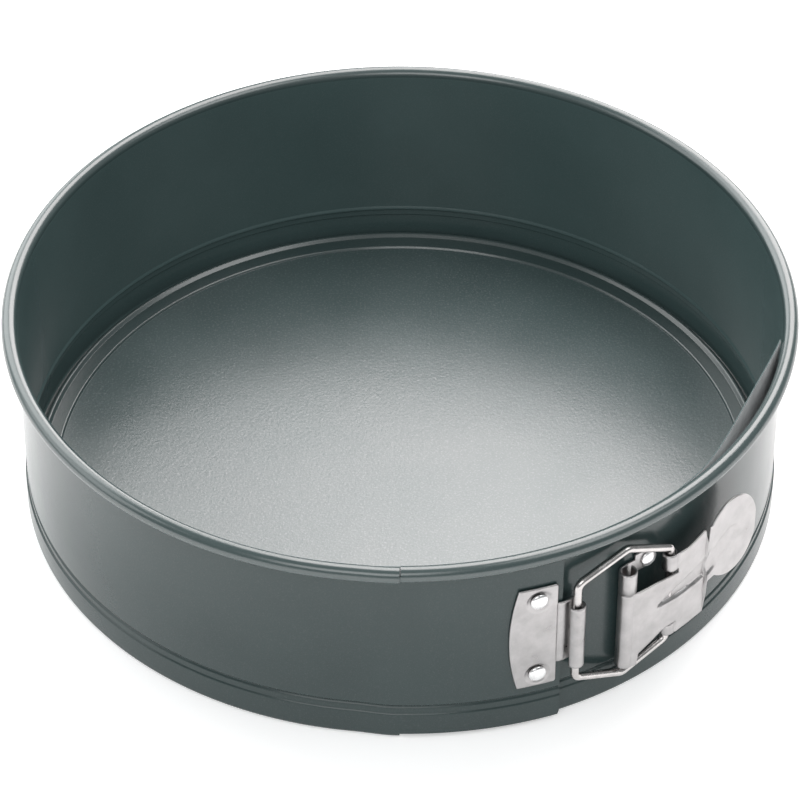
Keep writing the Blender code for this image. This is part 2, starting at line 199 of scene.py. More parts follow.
# Pressed channel of the lever: azimuth, height and half width along it, and its depth over the azimuth
CHANNEL = ((37.8, 42.2, 0.4), (41.0, 43.9, 2.6), (46.9, 46.8, 4.4), (52.0, 52.8, 4.4))
CHANNEL_DEPTH = ((40.0, 1.5), (47.0, 1.1), (50.0, 0.6))
CHANNEL_FLANK = 1.1

# Thumb pad, a tilted ellipse
PAD_AZ = 52.0
PAD_Z = 53.4
PAD_LONG = 19.2
PAD_SHORT = 15.2
PAD_HALF_AZ = 5.45
PAD_TILT = 14.0
PAD_FLARE = 1.5
PAD_FLARE_LEAD = 5.0
PAD_FLARE_AZ = 10.0
PAD_DISH = 0.9
PAD_DISH_AZ = 46.6
PAD_DISH_START = 0.35

# Wire bail: its bends' heights at the knuckle and at the lever
HOOK_AZ = 40.4
WIRE_R = 1.4
WIRE_SHOWN_R = 1.6
HOOK_GAP = 0.6
HOOK_R = LEVER_MID_R - LEVER_SHEET / 2 - HOOK_GAP - WIRE_R
BAIL_LEFT_Z = (21.5, 69.3)
BAIL_RIGHT_Z = (20.0, 66.2)
BAIL_APEX = 0.52
BAIL_BEND_R = 3.5
BAIL_TIGHT_BEND_R = 2.2
BAIL_END_GAP = 0.4

# Rivets: domed head, shank and flat tail
LEFT_RIVET_AZ = 19.3
LEFT_SEAT_DEPTH = 0.35
RIGHT_SEAT_HEIGHT = 0.1
DISH_DEPTH = 0.65
DISH_R = 5.2
DISH_FLANK = 1.2
RIVET_HEAD_R = 3.5
RIVET_HEAD_H = 1.6
RIVET_HEAD_EDGE = 0.35
RIVET_SHANK_R = 1.5
RIVET_TAIL_R = 2.6
RIVET_TAIL_H = 0.6
RIVET_CHAMFER = 0.15

# Camera and studio
CAMERA_ELEVATION = 41.11
CAMERA_DISTANCE = 1514.8
CAMERA_TARGET_Z = 35.7
CAMERA_LENS = 169.98
CAMERA_SENSOR = 36
TABLE_REACH = 6000.0
TABLE_GLOW = 0.38
WORLD_STRENGTH = 0.32
LAMP_TARGET = (0, 0, 40)

# Lamps: place, size, power in watts and colour
SOFTBOXES = {
    "softbox_back": ((500, 1450, 1500), (1400, 2700), 68, (1, 0.95, 0.945)),
    "softbox_back_left": ((-1000, 1300, 1100), (1300, 1800), 25, (1, 1, 1)),
    "softbox_left": ((-1500, 100, 900), (1300, 1200), 9, (1, 1, 1)),
    "softbox_top_right": ((900, -300, 1500), (900, 900), 7, (1, 1, 1)),
    "softbox_front": ((-300, -1400, 1300), (1200, 900), 9, (1, 1, 1)),
}


def polar(az, radius, z):
    """Point in metres at an azimuth in degrees, a radius and a height in millimetres."""
    angle = math.radians(az)
    return Vector((radius * math.sin(angle), -radius * math.cos(angle), z)) * MM


def plan_point(az, radius):
    """Point of the plan in millimetres at an azimuth and a radius."""
    angle = math.radians(az)
    return Vector((radius * math.sin(angle), -radius * math.cos(angle)))


def smooth(value):
    """Smooth step of a value clamped to 0..1."""
    value = max(0.0, min(1.0, value))
    return value * value * (3 - 2 * value)


def between(table, at):
    """Value at a place in a sorted table of (place, value) pairs."""
    if at <= table[0][0]:
        return table[0][1]
    for (left, low), (right, high) in zip(table, table[1:]):
        if at <= right:
            return low + (high - low) * (at - left) / (right - left)
    return table[-1][1]


def spread(start, end, count):
    """Evenly spaced values from start to end."""
    return [start + (end - start) * k / count for k in range(count + 1)]


def arc_points(radius, start, end, steps):
    """Points on an arc round the origin of a plane, angles in degrees."""
    angles = [math.radians(angle) for angle in spread(start, end, steps)]
    return [Vector((radius * math.cos(angle), radius * math.sin(angle))) for angle in angles]


def filleted(corners, steps=5):
    """Polyline through (x, y, radius) corners, each rounded by an arc tangent to both its legs."""
    points = [Vector(corners[0][:2])]
    for before, corner, after in zip(corners, corners[1:], corners[2:]):
        here = Vector(corner[:2])
        radius = corner[2]
        if radius == 0:
            points.append(here)
            continue
        to_before = (Vector(before[:2]) - here).normalized()
        to_after = (Vector(after[:2]) - here).normalized()
        half_angle = to_before.angle(to_after) / 2
        cut = radius / math.tan(half_angle)
        start = here + to_before * cut
        end = here + to_after * cut
        centre = here + (to_before + to_after).normalized() * (radius / math.sin(half_angle))
        for k in range(steps + 1):
            points.append(centre + (start - centre).slerp(end - centre, k / steps) * radius)
    points.append(Vector(corners[-1][:2]))
    return points


def offset_pairs(path, thickness):
    """Pairs of points half a thickness to each side of a plane path, mitred at its corners."""
    pairs = []
    for index, here in enumerate(path):
        before = path[max(index - 1, 0)]
        after = path[min(index + 1, len(path) - 1)]
        incoming = (here - before) if index else (after - here)
        outgoing = (after - here) if index < len(path) - 1 else incoming
        incoming = incoming.normalized()
        outgoing = outgoing.normalized()
        mitre = (incoming + outgoing).normalized()
        normal = Vector((-mitre.y, mitre.x))
        reach = thickness / 2 / max(mitre.dot(outgoing), 0.5)
        pairs.append((here - normal * reach, here + normal * reach))
    return pairs


def round_corner(at, corner, inward, radius):
    """Move a point of a plane outline's corner square onto the corner's round."""
    centre = Vector(corner) + Vector(inward) * radius
    from_centre = Vector(at) - centre
    along = [from_centre[axis] * -inward[axis] for axis in (0, 1)]
    if min(along) <= 0 or max(along) > radius * 1.0001:
        return Vector(at)
    return centre + from_centre * (max(along) / from_centre.length)


def finish_mesh(name, bm, crease_angle=40):
    """Object of a finished mesh, smooth but for its creases."""
    bmesh.ops.recalc_face_normals(bm, faces=bm.faces)
    mesh = bpy.data.meshes.new(name)
    bm.to_mesh(mesh)
    bm.free()
    mesh.shade_smooth()
    mesh.set_sharp_from_angle(angle=math.radians(crease_angle))
    obj = bpy.data.objects.new(name, mesh)
    bpy.context.scene.collection.objects.link(obj)
    return obj


def sheet_object(name, corners, cells, bulge=0.3, steps=4, crease_angle=50):
    """Closed body of a sheet. corners maps a key to its two skin points, cells are loops of four keys,
    and the free edges are rounded by a share of the thickness."""
    bm = bmesh.new()
    skins = {}
    uses = {}
    for cell in cells:
        for key in cell:
            if key not in skins:
                skins[key] = [bm.verts.new(point) for point in corners[key]]
        for side in (0, 1):
            bm.faces.new([skins[key][side] for key in cell])
        for start, end in zip(cell, cell[1:] + cell[:1]):
            uses.setdefault(frozenset((start, end)), []).append((start, end, cell))
    border = [found[0] for found in uses.values() if len(found) == 1]
    outward = {}
    for start, end, cell in border:
        across = (corners[start][1] - corners[start][0]).normalized()
        along = (corners[end][0] - corners[start][0]).normalized()
        middle = sum((corners[key][0] for key in cell), Vector()) / len(cell)
        away = (corners[start][0] + corners[end][0]) / 2 - middle
        away -= along * away.dot(along)
        away -= across * away.dot(across)
        for key in (start, end):
            outward[key] = outward.get(key, Vector()) + away.normalized()
    rims = {}
    for key, away in outward.items():
        inner, outer = corners[key]
        reach = away.normalized() * (bulge * (outer - inner).length)
        rim = [skins[key][0]]
        for k in range(1, steps):
            at = inner.lerp(outer, k / steps) + reach * math.sin(math.pi * k / steps)
            rim.append(bm.verts.new(at))
        rims[key] = rim + [skins[key][1]]
    for start, end, _ in border:
        for k in range(steps):
            bm.faces.new((rims[start][k], rims[end][k], rims[end][k + 1], rims[start][k + 1]))
    return finish_mesh(name, bm, crease_angle)


def grid_cells(count_u, count_v, filled=lambda i, j: True):
    """Cells between the corners (i, j) of a grid."""
    cells = []
    for i in range(count_u):
        for j in range(count_v):
            if filled(i, j):
                cells.append([(i, j), (i + 1, j), (i + 1, j + 1), (i, j + 1)])
    return cells


def lathe(name, profile, segments):
    """Solid of revolution about local Z; the profile runs from the axis to the axis."""
    bm = bmesh.new()
    rings = []
    for radius, height in profile[1:-1]:
        rings.append([bm.verts.new(polar(k * 360 / segments, radius, height)) for k in range(segments)])
    for lower, upper in zip(rings, rings[1:]):
        for k in range(segments):
            after = (k + 1) % segments
            bm.faces.new((lower[k], lower[after], upper[after], upper[k]))
    for ring, end in ((rings[0], profile[0]), (rings[-1], profile[-1])):
        tip = bm.verts.new(Vector((0, 0, end[1])) * MM)
        for k in range(segments):
            bm.faces.new((tip, ring[k], ring[(k + 1) % segments]))
    return finish_mesh(name, bm)


def outward_share(polygon):
    """How much a face looks away from the pan's axis, from -1 to 1."""
    outward = Vector((polygon.center.x, polygon.center.y, 0)).normalized()
    return polygon.normal.dot(outward)


def shown(obj, material, slot, body, *nodes):
    """Give a finished piece its body and, unless it has coats already, its material, and hide the CAD nodes
    it stands for.
    """
    if not obj.data.materials:
        obj.data.materials.append(material)
    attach(obj, body)
    if nodes:
        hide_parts(*nodes)
    return obj


# ---------------------------------------------------------------- materials


def node_material(name):
    """New material with its nodes and links."""
    material = bpy.data.materials.new(name)
    material.use_nodes = True
    return material, material.node_tree.nodes, material.node_tree.links


def noise_node(nodes, links, coordinates, scale, detail, roughness=0.5):
    noise = nodes.new("ShaderNodeTexNoise")
    noise.inputs["Scale"].default_value = scale
    noise.inputs["Detail"].default_value = detail
    noise.inputs["Roughness"].default_value = roughness
    links.new(coordinates, noise.inputs["Vector"])
    return noise.outputs["Fac"]


def ramp_node(nodes, links, factor, stops):
    """Colour ramp through (position, colour) stops."""
    ramp = nodes.new("ShaderNodeValToRGB")
    ramp.color_ramp.elements[0].position = stops[0][0]
    ramp.color_ramp.elements[0].color = (*stops[0][1], 1)
    ramp.color_ramp.elements[1].position = stops[-1][0]
    ramp.color_ramp.elements[1].color = (*stops[-1][1], 1)
    for position, colour in stops[1:-1]:
        ramp.color_ramp.elements.new(position).color = (*colour, 1)
    links.new(factor, ramp.inputs["Fac"])
    return ramp.outputs["Color"]


def range_node(nodes, links, factor, low, high, start=0.3, end=0.7):
    """Map a noise's middle range to a value range."""
    mapping = nodes.new("ShaderNodeMapRange")
    mapping.inputs["From Min"].default_value = start
    mapping.inputs["From Max"].default_value = end
    mapping.inputs["To Min"].default_value = low
    mapping.inputs["To Max"].default_value = high
    links.new(factor, mapping.inputs["Value"])
    return mapping.outputs["Result"]


def bump_node(nodes, links, height, strength, distance, normal=None):
    bump = nodes.new("ShaderNodeBump")
    bump.inputs["Strength"].default_value = strength
    bump.inputs["Distance"].default_value = distance
    links.new(height, bump.inputs["Height"])
    if normal is not None:
        links.new(normal, bump.inputs["Normal"])
    return bump.outputs["Normal"]


def coating_material(name, shade, grain_scale, grain_depth, flake, roughness, ior):
    """Grey-green non-stick coating on steel: fine orange peel, metallic flakes and soft sheen changes; its
    shade scales the colour, for lighter and darker copies that paint light and shade.
    """
    material, nodes, links = node_material(name)
    shader = nodes["Principled BSDF"]
    coordinates = nodes.new("ShaderNodeTexCoord").outputs["Object"]
    broad = noise_node(nodes, links, coordinates, 22, 3)
    dark = [shade * channel for channel in (0.041, 0.066, 0.066)]
    light = [shade * channel for channel in (0.048, 0.076, 0.076)]
    colour = ramp_node(nodes, links, broad, [(0.3, dark), (0.7, light)])
    flakes = noise_node(nodes, links, coordinates, grain_scale * 1.3, 2, 0.7)
    glint = (flake, 0.9 * flake, 0.93 * flake)
    spots = ramp_node(nodes, links, flakes, [(0.52, (0, 0, 0)), (0.74, glint)])
    mix = nodes.new("ShaderNodeMix")
    mix.data_type = "RGBA"
    mix.blend_type = "ADD"
    mix.inputs["Factor"].default_value = 1
    links.new(colour, mix.inputs["A"])
    links.new(spots, mix.inputs["B"])
    links.new(mix.outputs["Result"], shader.inputs["Base Color"])
    sheen = range_node(nodes, links, broad, roughness, roughness + 0.05)
    links.new(sheen, shader.inputs["Roughness"])
    grain = noise_node(nodes, links, coordinates, grain_scale, 2, 0.6)
    waves = noise_node(nodes, links, coordinates, 60, 2)
    normal = bump_node(nodes, links, waves, 0.12, 0.0004)
    normal = bump_node(nodes, links, grain, grain_depth, 0.0001, normal)
    links.new(normal, shader.inputs["Normal"])
    shader.inputs["IOR"].default_value = ior
    return material


def plated_material(name, tint, roughness, grain_depth, metallic=1.0):
    """Satin metal: soft clouds in its colour, sheen and surface, and a fine grain."""
    material, nodes, links = node_material(name)
    shader = nodes["Principled BSDF"]
    coordinates = nodes.new("ShaderNodeTexCoord").outputs["Object"]
    clouds = noise_node(nodes, links, coordinates, 130, 4, 0.6)
    dark = [channel * 0.82 for channel in tint]
    light = [channel * 1.08 for channel in tint]
    colour = ramp_node(nodes, links, clouds, [(0.3, dark), (0.68, light)])
    links.new(colour, shader.inputs["Base Color"])
    grain = noise_node(nodes, links, coordinates, 1500, 3, 0.7)
    sheen = range_node(nodes, links, clouds, roughness - 0.05, roughness + 0.07)
    links.new(sheen, shader.inputs["Roughness"])
    normal = bump_node(nodes, links, clouds, 0.2, 0.0003)
    normal = bump_node(nodes, links, grain, grain_depth, 0.00006, normal)
    links.new(normal, shader.inputs["Normal"])
    shader.inputs["Metallic"].default_value = metallic
    return material


SMOOTH_GRAIN = {"grain_scale": 1500, "grain_depth": 0.12, "flake": 0.02}
ROUGH_GRAIN = {"grain_scale": 850, "grain_depth": 0.8, "flake": 0.09}
# One coating in lighter and darker copies, as painted light and shade: darkened on the outer wall,
# lightened inside the pan and on the floor, and lighter and more reflective on the rim as a painted
# highlight.
SHADED_WALL_COATING = coating_material("wall_coating_painted_shade", shade=0.7, roughness=0.17, ior=1.45, **SMOOTH_GRAIN)
LIT_INNER_COATING = coating_material("inner_coating_painted_light", shade=1.45, roughness=0.2, ior=1.45, **SMOOTH_GRAIN)
HIGHLIGHT_RIM_COATING = coating_material("rim_coating_painted_highlight", shade=0.9, roughness=0.22, ior=1.8, **SMOOTH_GRAIN)
LIT_FLOOR_COATING = coating_material("floor_coating_painted_light", shade=1.2, roughness=0.3, ior=1.9, **ROUGH_GRAIN)
# Near-white, nearly non-metallic material for the outward faces of the flap.
PALE_FLAP_BACK = plated_material("pale_flap_back", (0.9, 0.89, 0.9), roughness=0.5, grain_depth=0.3, metallic=0.1)
ZINC = plated_material("zinc_plate", (0.45, 0.44, 0.44), roughness=0.32, grain_depth=0.5)
WIRE_ZINC = plated_material("wire_zinc", (0.6, 0.58, 0.57), roughness=0.24, grain_depth=0.2)
RIVET_METAL = plated_material("rivet_metal", (0.93, 0.93, 0.93), roughness=0.28, grain_depth=0.2)
PIN_STEEL = plated_material("pin_steel", (0.3, 0.25, 0.23), roughness=0.4, grain_depth=0.3)


# ---------------------------------------------------------------- wall band


def band_path():
    """Middle line of the band's section, (radius, z), from the bottom lip to the end of the rim's curl."""
    half = SHEET / 2
    skirt_r = WALL_MID_R + SKIRT_STEP
    lower = filleted([
        (LIP_INNER_R, half, 0),
        (skirt_r, half, 1.5),
        (skirt_r, LAP_BOTTOM_Z, 0),
        (skirt_r, LAP_BOTTOM_Z + 0.4, 0),
        (skirt_r, LAP_BOTTOM_Z + 1.2, 0),
        (skirt_r, LAP_BOTTOM_Z + 2.6, 0),
        (skirt_r, BEAD_Z - 3.9, 0.5),
        (WALL_MID_R + 0.1, BEAD_Z - 3.4, 0.5),
        (WALL_MID_R + 0.1, BEAD_Z - 0.8, 0.5),
        (WALL_MID_R - BEAD_DEPTH, BEAD_Z - 0.1, 0.7),
        (WALL_MID_R, BEAD_Z + 1.2, 0.9),
        (WALL_MID_R, 40.0, 0),
        (WALL_MID_R, 62.0, 0),
        (WALL_MID_R, LAP_TOP_Z - 0.4, 0),
        (WALL_MID_R, LAP_TOP_Z, 0),
    ])
    curl_centre = Vector((WALL_INNER_R + CURL_R, PAN_HEIGHT - CURL_R))
    curl = [curl_centre + at for at in arc_points(CURL_R - half, 180, CURL_END, 30)]
    return lower + curl


def lap_offset(az, z=0.0):
    """How far the left end of the band stands out as it rides over the right end, less at the rim."""
    rise = LAP_STEP * smooth((az - LAP_START_AZ) / -LAP_START_AZ)
    near_rim = smooth((z - LAP_EASE_Z) / (LAP_TOP_Z - LAP_EASE_Z))
    rise -= LAP_RIM_EASE * rise * near_rim * smooth(1 - az)
    return rise + LAP_END_RISE * max(0.0, az / LAP_END_AZ) ** 1.2


def coat_band(band):
    """Copies of one coating as painted light and shade: darkened outside, lightened inside and lighter and
    more reflective on the rim's curl, a painted highlight.
    """
    coats = (SHADED_WALL_COATING, LIT_INNER_COATING, HIGHLIGHT_RIM_COATING)
    for coat in coats:
        band.data.materials.append(coat)
    for polygon in band.data.polygons:
        height = polygon.center.z
        inside = outward_share(polygon) < -FACING
        coat = LIT_INNER_COATING if inside else SHADED_WALL_COATING
        if height > (PAN_HEIGHT - CURL_R) * MM or (height > LAP_TOP_Z * MM and not inside):
            coat = HIGHLIGHT_RIM_COATING
        polygon.material_index = coats.index(coat)


def band_piece(name, stations, offset=lambda az, z: 0.0, filled=lambda i, j: True, shift=None):
    """Stretch of the band along its stations, with its ends offset, cut out or shifted where told."""
    pairs = offset_pairs(band_path(), SHEET)
    corners = {}
    for i, az in enumerate(stations):
        for j, pair in enumerate(pairs):
            here = shift(az, pair[0].y) if shift else az
            corners[i, j] = [polar(here, at.x + offset(az, at.y), at.y) for at in pair]
    cells = grid_cells(len(stations) - 1, len(pairs) - 1, filled)
    band = sheet_object(name, corners, cells, bulge=0.0, steps=1, crease_angle=60)
    coat_band(band)
    return band


def seamed_stations(start, end):
    """Azimuths about a degree apart, with a narrow last cell at each end so that the shading runs on."""
    narrow = 0.05
    return [start, *spread(start + narrow, end - narrow, round(end - start)), end]


def rounded_lap(az, z):
    """Round the lower corner of the lap's free end; the rim hides the upper one."""
    if az <= 0:
        return az
    to_mm = math.radians(1) * WALL_OUTER_R
    at = round_corner((az * to_mm, z), (LAP_END_AZ * to_mm, LAP_BOTTOM_Z), (-1, 1), LAP_CORNER_R)
    return at.x / to_mm


def make_left_half(start):
    """Left part of the band; past the front it goes on as the lap, without its curl and its lip."""
    main = seamed_stations(start, LAP_START_AZ) + spread(LAP_START_AZ, -CURL_HALF_GAP, 8)[1:]
    near_corner = [LAP_END_AZ - before for before in (0.8, 0.5, 0.25, 0.1, 0)]
    lap = spread(0.6, LAP_END_AZ - 1.2, 18) + near_corner
    curl_end = len(main) - 1
    path = band_path()

    def filled(i, j):
        inside_lap = path[j].y >= LAP_BOTTOM_Z - TOLERANCE and path[j + 1].y <= LAP_TOP_Z + TOLERANCE
        return i < curl_end or inside_lap

    left = band_piece("band_left_half", main + lap, lap_offset, filled, rounded_lap)
    shown(left, SHADED_WALL_COATING, "coated_steel", "wall_left", "band_left")


def make_band():
    """Right half, left half and the back stretch between them."""
    back_start = BACK_SEAM_AZ - BACK_HALF_ANGLE
    back_end = BACK_SEAM_AZ + BACK_HALF_ANGLE
    right = band_piece("band_right_half", seamed_stations(CURL_HALF_GAP, back_start))
    shown(right, SHADED_WALL_COATING, "coated_steel", "wall_right", "band_right")

    make_left_half(back_end - 360)

    back = band_piece("band_back", seamed_stations(back_start, back_end))
    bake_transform(back)


def flap_radius(az):
    """Middle radius of the flap: against the wall, then bowed inwards towards its free end."""
    rest = WALL_INNER_R - GAP - FLAP_SHEET / 2
    share = max(0.0, (az - FLAP_BOW_AZ) / (FLAP_END_AZ - FLAP_BOW_AZ))
    return rest - FLAP_BOW * math.sin(math.pi * share ** 1.15) - FLAP_END_GAP * share


def pale_outer_faces(flap, top_z):
    """Near-white, nearly non-metallic material on the faces that look away from the pan's axis, below a
    height.
    """
    flap.data.materials.append(PALE_FLAP_BACK)
    for polygon in flap.data.polygons:
        looks_out = outward_share(polygon) > FACING
        polygon.material_index = int(looks_out and polygon.center.z < top_z * MM)


def make_seal_flap():
    """Inner strip; its hidden part behind the lap is a little lower than its free end."""
    low, high = heights("seal_flap")
    stations = spread(FLAP_START_AZ, FLAP_END_AZ, round(FLAP_END_AZ - FLAP_START_AZ))
    near_edge = (0, 0.5, 1.5, 3)
    levels = [low + rise for rise in near_edge] + spread(low + 8, high - 8, 6)
    levels = levels + [high - drop for drop in reversed(near_edge)]
    pairs = offset_pairs([plan_point(az, flap_radius(az)) for az in stations], FLAP_SHEET)
    corners = {}
    for i, pair in enumerate(pairs):
        risen = smooth((stations[i] - FLAP_BOW_AZ + FLAP_RISE_LEAD) / FLAP_RISE_AZ)
        hidden = FLAP_HIDDEN_DROP * (1 - risen)
        for j, z in enumerate(levels):
            height = z - hidden * (z - low) / (high - low)
            corners[i, j] = [Vector((at.x, at.y, height)) * MM for at in pair]
    flap = sheet_object("seal_flap_strip", corners, grid_cells(len(stations) - 1, len(levels) - 1))
    shown(flap, LIT_INNER_COATING, "coated_steel", "wall_right", "seal_flap")
    pale_outer_faces(flap, high)


# ---------------------------------------------------------------- base


def make_base():
    """Pressed base: a floor, a small step, a sloping ledge, a flank up to the ring and its edge."""
    half = BASE_SHEET / 2
    floor_mid = FLOOR_TOP_Z - half
    ring_mid = BASE_RING_TOP_Z - half
    edge_mid = BASE_OUTER_R - half
    path = filleted([
        (30.0, floor_mid, 0),
        (80.0, floor_mid, 0),
        (125.0, floor_mid, 0),
        (FLOOR_R, floor_mid, 0.55),
        (FLOOR_R + STEP_WIDTH, floor_mid + STEP_RISE, 0.55),
        (FLOOR_R + LEDGE_WIDTH, floor_mid + LEDGE_RISE, 0.8),
        (FLOOR_R + RING_START, ring_mid, 0.7),
        (edge_mid, ring_mid, 0.5),
        (edge_mid, SHEET + GAP + 0.05, 0),
    ], steps=6)
    pairs = offset_pairs(path, BASE_SHEET)
    skins = [pair[0] for pair in pairs] + [pair[1] for pair in reversed(pairs)]
    section = [(at.x, at.y) for at in skins]
    base = lathe("base_disc", [(0, section[0][1])] + section + [(0, section[-1][1])], 240)
    # The floor takes a lightened copy of the coating: painted light.
    base.data.materials.append(LIT_FLOOR_COATING)
    base.data.materials.append(HIGHLIGHT_RIM_COATING)
    # The ring beyond the floor takes the rim's lighter, more reflective coat: painted highlights on its
    # edges.
    ring_highlight_r = FLOOR_R - 0.3
    for polygon in base.data.polygons:
        polygon.material_index = int(radius_of(polygon.center) > ring_highlight_r)
    shown(base, LIT_FLOOR_COATING, "coated_steel", "base", "base_plate")


# ---------------------------------------------------------------- latch


def pivot_frame(az, radius):
    """Map (tangent, outward) millimetres around a vertical pivot to plan coordinates."""
    angle = math.radians(az)
    centre = plan_point(az, radius)
    tangent = Vector((math.cos(angle), math.sin(angle)))
    outward = Vector((math.sin(angle), -math.cos(angle)))
    return lambda at: centre + tangent * at[0] + outward * at[1]


def dish(az, z, rivet_az, rivet_z):
    """Shallow pressed seat round a rivet."""
    across = math.radians(az - rivet_az) * WALL_OUTER_R
    distance = math.hypot(across, z - rivet_z)
    return -DISH_DEPTH * smooth((DISH_R - distance) / DISH_FLANK)


def left_plate_corners(rows, low, high, plate_r, columns):
    """Corners of the plate on the lap, with a bowed left edge, round right corners and sunk seats."""
    to_mm = math.radians(1) * plate_r
    middle_z = (low + high) / 2
    centres = [centre_of(node) for node in ("left_rivet_lower", "left_rivet_upper")]
    seats = [(azimuth_of(centre), centre.z / MM) for centre in centres]
    start_az, end_az = LEFT_PLATE_AZ
    corners = {}
    for i in range(columns + 1):
        for j, z in enumerate(rows):
            left_az = start_az + LEFT_EDGE_BOW * ((z - middle_z) / LEFT_EDGE_HALF_Z) ** 2
            az = left_az + (end_az - left_az) * i / columns
            at = Vector((az * to_mm, z))
            for corner_z, up in ((low, 1), (high, -1)):
                at = round_corner(at, (end_az * to_mm, corner_z), (-1, up), LEFT_CORNER_R)
            az = at.x / to_mm
            relief = sum(dish(az, at.y, *seat) for seat in seats)
            radius = plate_r + lap_offset(az) + relief
            corners[i, j] = [polar(az, radius + side * LEFT_SHEET / 2, at.y) for side in (-1, 1)]
    return corners


def make_left_bracket():
    """Plate on the lap whose tab rolls into the knuckle that holds the bail."""
    low, high = heights("left_bracket")
    plate_r = LEFT_SHEET / 2 + GAP + WALL_OUTER_R
    edge_rows = 18
    tab_count = 32
    columns = 32
    rows = spread(low, LEFT_TAB_Z[0], edge_rows) + spread(*LEFT_TAB_Z, tab_count)[1:]
    rows = rows + spread(LEFT_TAB_Z[1], high, edge_rows)[1:]
    tab_rows = range(edge_rows, edge_rows + tab_count)
    corners = left_plate_corners(rows, low, high, plate_r, columns)
    roll = pivot_frame(KNUCKLE_AZ, KNUCKLE_R)
    edge = plan_point(LEFT_PLATE_AZ[1], plate_r + lap_offset(LEFT_PLATE_AZ[1]))
    shoulder = plan_point(LEFT_SHOULDER_AZ, plate_r + lap_offset(LEFT_SHOULDER_AZ))
    curl = [roll(at) for at in arc_points(KNUCKLE_OUTER_R - LEFT_SHEET / 2, -90, 168, 24)]
    tab = [edge.lerp(shoulder, k / 3) for k in range(4)]
    pairs = offset_pairs(tab + curl, LEFT_SHEET)
    for k, pair in enumerate(pairs[1:], 1):
        drop = KNUCKLE_DROP * smooth((k - len(tab)) / 6)
        for j in (*tab_rows, tab_rows[-1] + 1):
            corners[columns + k, j] = [Vector((at.x, at.y, rows[j] - drop)) * MM for at in pair]

    def filled(i, j):
        return i < columns or j in tab_rows

    cells = grid_cells(columns + len(pairs) - 1, len(rows) - 1, filled)
    bracket = sheet_object("left_bracket_plate", corners, cells)
    shown(bracket, ZINC, "plated_steel", "wall_left", "left_bracket")


def ear_point(at, z, middles, plate_r):
    """Point of the right bracket at a height, moved onto the round corners of its ears."""
    to_mm = math.radians(1) * plate_r
    here = Vector((azimuth_of(at) * to_mm, z))
    for middle in middles:
        for up in (1, -1):
            corner = (EAR_END_AZ * to_mm, middle - up * EAR_HALF_Z)
            here = round_corner(here, corner, (-1, up), EAR_CORNER_R)
    return polar(here.x / to_mm, radius_of(at * MM), here.y)


def make_right_bracket():
    """Narrow plate with an ear for each rivet, whose upper part rolls into the fixed barrel."""
    low = heights("right_bracket")[0]
    plate_r = WALL_OUTER_R + GAP + RIGHT_SHEET / 2
    lower, upper = [centre_of(node).z / MM for node in ("right_rivet_lower", "right_rivet_upper")]
    roll = pivot_frame(PIVOT_AZ, PIVOT_R)
    curl = [roll(at) for at in arc_points(BARREL_OUTER_R - RIGHT_SHEET / 2, -390, -90, 34)]
    plate = [plan_point(az, plate_r) for az in RIGHT_PLATE_AZ]
    ears = [plan_point(az, plate_r) for az in spread(EAR_START_AZ, EAR_END_AZ, 12)]
    pairs = offset_pairs(curl + plate + ears, RIGHT_SHEET)
    rows = spread(low, lower + EAR_HALF_Z, 10) + spread(lower + EAR_HALF_Z, BARREL_LOW_Z, 10)[1:]
    rows = rows + spread(upper - EAR_HALF_Z, BARREL_TOP_Z, 8)
    rows = rows + spread(BARREL_TOP_Z, upper + EAR_HALF_Z, 5)[1:]
    corners = {}
    for i, pair in enumerate(pairs):
        for j, z in enumerate(rows):
            corners[i, j] = [ear_point(at, z, (lower, upper), plate_r) for at in pair]

    def filled(i, j):
        if i < len(curl):
            return BARREL_LOW_Z - TOLERANCE <= rows[j] < BARREL_TOP_Z - TOLERANCE
        if i < len(curl) + len(plate) - 1:
            return rows[j] < BARREL_TOP_Z - TOLERANCE
        return any(abs((rows[j] + rows[j + 1]) / 2 - middle) < EAR_HALF_Z for middle in (lower, upper))

    cells = grid_cells(len(pairs) - 1, len(rows) - 1, filled)
    bracket = sheet_object("right_bracket_plate", corners, cells)
    shown(bracket, ZINC, "plated_steel", "wall_right", "right_bracket")


def pad_span(az):
    """Lowest and highest point of the thumb pad at an azimuth: a tilted ellipse."""
    across = math.radians(az - PAD_AZ) * LEVER_MID_R
    tilt = math.radians(PAD_TILT)
    long_x = -PAD_LONG * math.sin(tilt)
    long_z = PAD_LONG * math.cos(tilt)
    short_x = PAD_SHORT * math.cos(tilt)
    short_z = PAD_SHORT * math.sin(tilt)
    reach = math.hypot(long_x, short_x)
    phase = math.atan2(short_x, long_x)
    turn = math.acos(max(-1.0, min(1.0, across / reach)))
    edges = [long_z * math.cos(t) + short_z * math.sin(t) for t in (phase - turn, phase + turn)]
    return PAD_Z + min(edges), PAD_Z + max(edges)


def lever_relief(az, z):
    """Pressed channel from a point on the plate through the neck to a round end in the pad."""
    to_mm = math.radians(1) * LEVER_MID_R
    here = Vector((az * to_mm, z))
    best = 0.0
    for (az_a, z_a, half_a), (az_b, z_b, half_b) in zip(CHANNEL, CHANNEL[1:]):
        start = Vector((az_a * to_mm, z_a))
        leg = Vector((az_b * to_mm, z_b)) - start
        share = max(0.0, min(1.0, (here - start).dot(leg) / leg.length_squared))
        distance = (here - start - leg * share).length
        half = half_a + (half_b - half_a) * share
        best = max(best, smooth((half - distance) / CHANNEL_FLANK + 0.5))
    return -best * between(CHANNEL_DEPTH, az)


def pad_crown(az, z):
    """How far the flaring pad and its raised edge stand out."""
    flare = PAD_FLARE * max(0.0, (az - PAD_AZ + PAD_FLARE_LEAD) / PAD_FLARE_AZ) ** 2
    across = math.radians(az - PAD_AZ) * LEVER_MID_R / PAD_SHORT
    along = (z - PAD_Z) / PAD_LONG
    rim = smooth(math.hypot(across, along) - PAD_DISH_START) if az > PAD_DISH_AZ else 0.0
    return flare + PAD_DISH * rim


